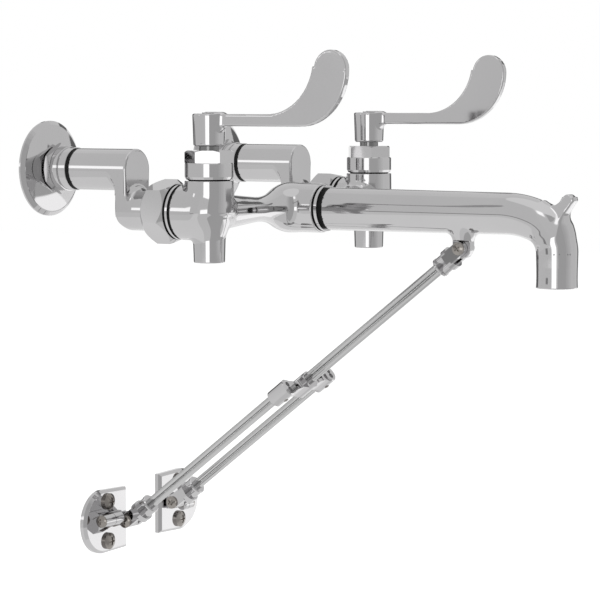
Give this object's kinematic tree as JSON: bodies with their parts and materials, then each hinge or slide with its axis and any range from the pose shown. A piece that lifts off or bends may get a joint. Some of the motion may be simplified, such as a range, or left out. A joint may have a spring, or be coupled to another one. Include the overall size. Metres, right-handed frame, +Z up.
{
  "type": "service sink faucet",
  "caption": "Wall-mounted service sink faucet with cranked inlet arms, wrist blade handles, a spout with pail hook and an adjustable bottom brace.",
  "frame": {"origin": "on the wall plane, midway between the two supply inlets and level with them", "axes": "+Z up, +X to the user's right when facing the wall, -Y straight out of the wall along the spout"},
  "size_m": [0.2684, 0.3609, 0.3548],
  "materials": {
    "chrome": "polished",
    "screw_steel": "plain",
    "seal_rubber": "matte",
    "cartridge_plastic": "moulded"
  },
  "bodies": {
    "faucet": {"wall_flange_left": "chrome", "wall_flange_right": "chrome", "inlet_shank_left": "chrome", "inlet_shank_right": "chrome", "arm_collar_left": "chrome", "arm_collar_right": "chrome", "arm_seal_left": "seal_rubber", "arm_seal_right": "seal_rubber", "crank_arm_left": "chrome", "crank_arm_right": "chrome", "coupling_nut_left": "chrome", "coupling_nut_right": "chrome", "coupling_gasket_left": "seal_rubber", "coupling_gasket_right": "seal_rubber", "tail_ring_left": "chrome", "tail_ring_right": "chrome", "bonnet_left": "chrome", "bonnet_right": "chrome", "cartridge_left": "cartridge_plastic", "cartridge_right": "cartridge_plastic", "valve_body": "chrome", "hub_seal": "seal_rubber", "hub_ring": "chrome", "spout_seal": "seal_rubber", "spout": "chrome"},
    "handle_left": {"stem_left": "chrome", "handle_left": "chrome", "handle_screw_left": "screw_steel", "index_button_left": "chrome"},
    "handle_right": {"stem_right": "chrome", "handle_right": "chrome", "handle_screw_right": "screw_steel", "index_button_right": "chrome"},
    "brace_strut": {"top_pin": "screw_steel", "top_fork": "chrome", "upper_rods": "chrome", "coupler": "chrome", "clamp_screws": "screw_steel"},
    "leg_left": {"leg_rods_left": "chrome", "leg_fork_left": "chrome", "fork_pin_left": "screw_steel"},
    "knuckle_left": {"knuckle_left": "chrome"},
    "plate_left": {"wall_plate_left": "chrome", "lug_pin_left": "screw_steel", "plate_screws_left": "screw_steel"},
    "leg_right": {"leg_rods_right": "chrome", "leg_fork_right": "chrome", "fork_pin_right": "screw_steel"},
    "knuckle_right": {"knuckle_right": "chrome"},
    "plate_right": {"wall_plate_right": "chrome", "lug_pin_right": "screw_steel", "plate_screws_right": "screw_steel"}
  },
  "joints": [
    {"name": "handle_left_turn", "type": "hinge", "parent": "faucet", "child": "handle_left", "pos_m": [-0.1016, -0.1345, 0.03], "axis": [0, 0, 1], "range_deg": [-90, 0]},
    {"name": "handle_right_turn", "type": "hinge", "parent": "faucet", "child": "handle_right", "pos_m": [0.1016, -0.1345, 0.03], "axis": [0, 0, 1], "range_deg": [0, 90]},
    {"name": "brace_swing", "type": "hinge", "parent": "faucet", "child": "brace_strut", "pos_m": [0, -0.2696, -0.0516], "axis": [1, 0, 0], "range_deg": [-40, 20]},
    {"name": "leg_left_slide", "type": "slide", "parent": "brace_strut", "child": "leg_left", "axis": [0, -0.7898, 0.6133], "range_m": [0, 0.09]},
    {"name": "knuckle_left_tilt", "type": "hinge", "parent": "leg_left", "child": "knuckle_left", "pos_m": [-0.0285, -0.0143, -0.25403], "axis": [1, 0, 0], "range_deg": [-30, 30]},
    {"name": "plate_left_tilt", "type": "hinge", "parent": "knuckle_left", "child": "plate_left", "pos_m": [-0.05085, -0.0128, -0.25063], "axis": [1, 0, 0], "range_deg": [-8, 8]},
    {"name": "leg_right_slide", "type": "slide", "parent": "brace_strut", "child": "leg_right", "axis": [0, -0.7898, 0.6133], "range_m": [0, 0.09]},
    {"name": "knuckle_right_tilt", "type": "hinge", "parent": "leg_right", "child": "knuckle_right", "pos_m": [0.0285, -0.0143, -0.24806], "axis": [1, 0, 0], "range_deg": [-30, 30]},
    {"name": "plate_right_tilt", "type": "hinge", "parent": "knuckle_right", "child": "plate_right", "pos_m": [0.04, -0.0128, -0.25146], "axis": [1, 0, 0], "range_deg": [-8, 8]}
  ]
}
